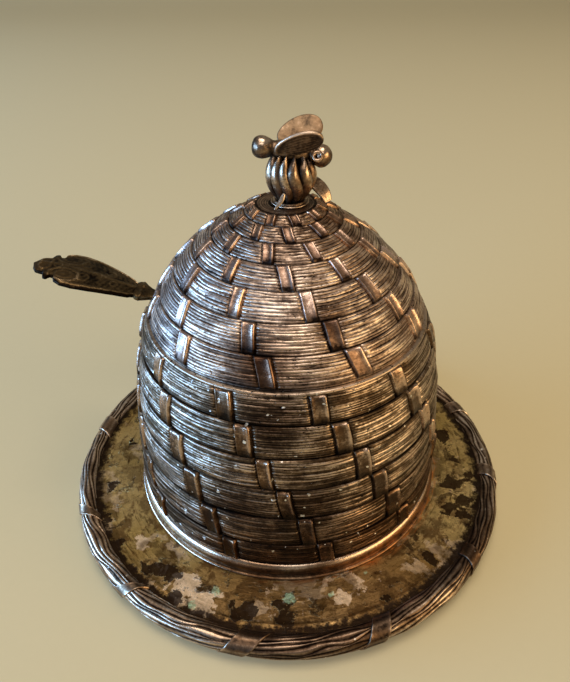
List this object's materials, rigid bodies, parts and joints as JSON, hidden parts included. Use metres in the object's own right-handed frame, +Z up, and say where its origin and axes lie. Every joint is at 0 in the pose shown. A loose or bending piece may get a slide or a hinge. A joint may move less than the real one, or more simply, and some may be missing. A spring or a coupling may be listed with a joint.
{
  "type": "honey pot",
  "caption": "Silver-plated honey pot shaped as a straw skep on a fixed plate, with lift-off domed lid, bee finial, glass liner and leaf-handled spoon.",
  "frame": {"origin": "centre of the flat foot under the plate, on the surface the pot stands on", "axes": "+Z up the pot's axis to the finial; -Y is the front; the spoon's handle leaves towards -X"},
  "size_m": [0.1545, 0.1526, 0.1296],
  "materials": {
    "lid_silver": "aged silver plate, warm grey with dark grooves, satin",
    "body_silver": "darker tarnished silver plate, satin with brighter crests",
    "plate_silver": "worn silver plate with dark blotches and pale worn patches",
    "border_silver": "cast straw relief, dark in the grooves and polished on the strands",
    "bright_silver": "bright rubbed silver with a warm tone",
    "finial_bronze": "dark bronze-toned casting with sharp highlights",
    "spoon_dark": "dark brown tarnish with bright worn edges",
    "liner_glass": "clear plain glass"
  },
  "bodies": {
    "base": {"underplate": "plate_silver", "straw_border": "border_silver", "foot_ring": "bright_silver", "hive_body": "body_silver", "liner_ledge": "bright_silver"},
    "liner": {"glass_liner": "liner_glass"},
    "spoon": {"spoon_bowl": "spoon_dark", "spoon_stem": "spoon_dark", "spoon_leaf": "spoon_dark"},
    "lid": {"lid_shell": "lid_silver", "lid_bezel": "bright_silver", "finial_seat": "finial_bronze", "finial_blossom": "finial_bronze", "blossom_leaf": "finial_bronze", "blossom_sprig": "finial_bronze", "bee_body": "finial_bronze", "wing_front": "finial_bronze", "wing_rear": "finial_bronze", "finial_stud": "bright_silver", "finial_washer": "bright_silver", "finial_nut": "bright_silver"}
  },
  "joints": [
    {"name": "liner_lift", "type": "slide", "parent": "base", "child": "liner", "axis": [0, 0, 1], "range_m": [0, 0.075]},
    {"name": "spoon_lift", "type": "slide", "parent": "liner", "child": "spoon", "axis": [0, 0, 1], "range_m": [0, 0.075]},
    {"name": "lid_lift", "type": "slide", "parent": "spoon", "child": "lid", "axis": [0, 0, 1], "range_m": [0, 0.06]}
  ]
}
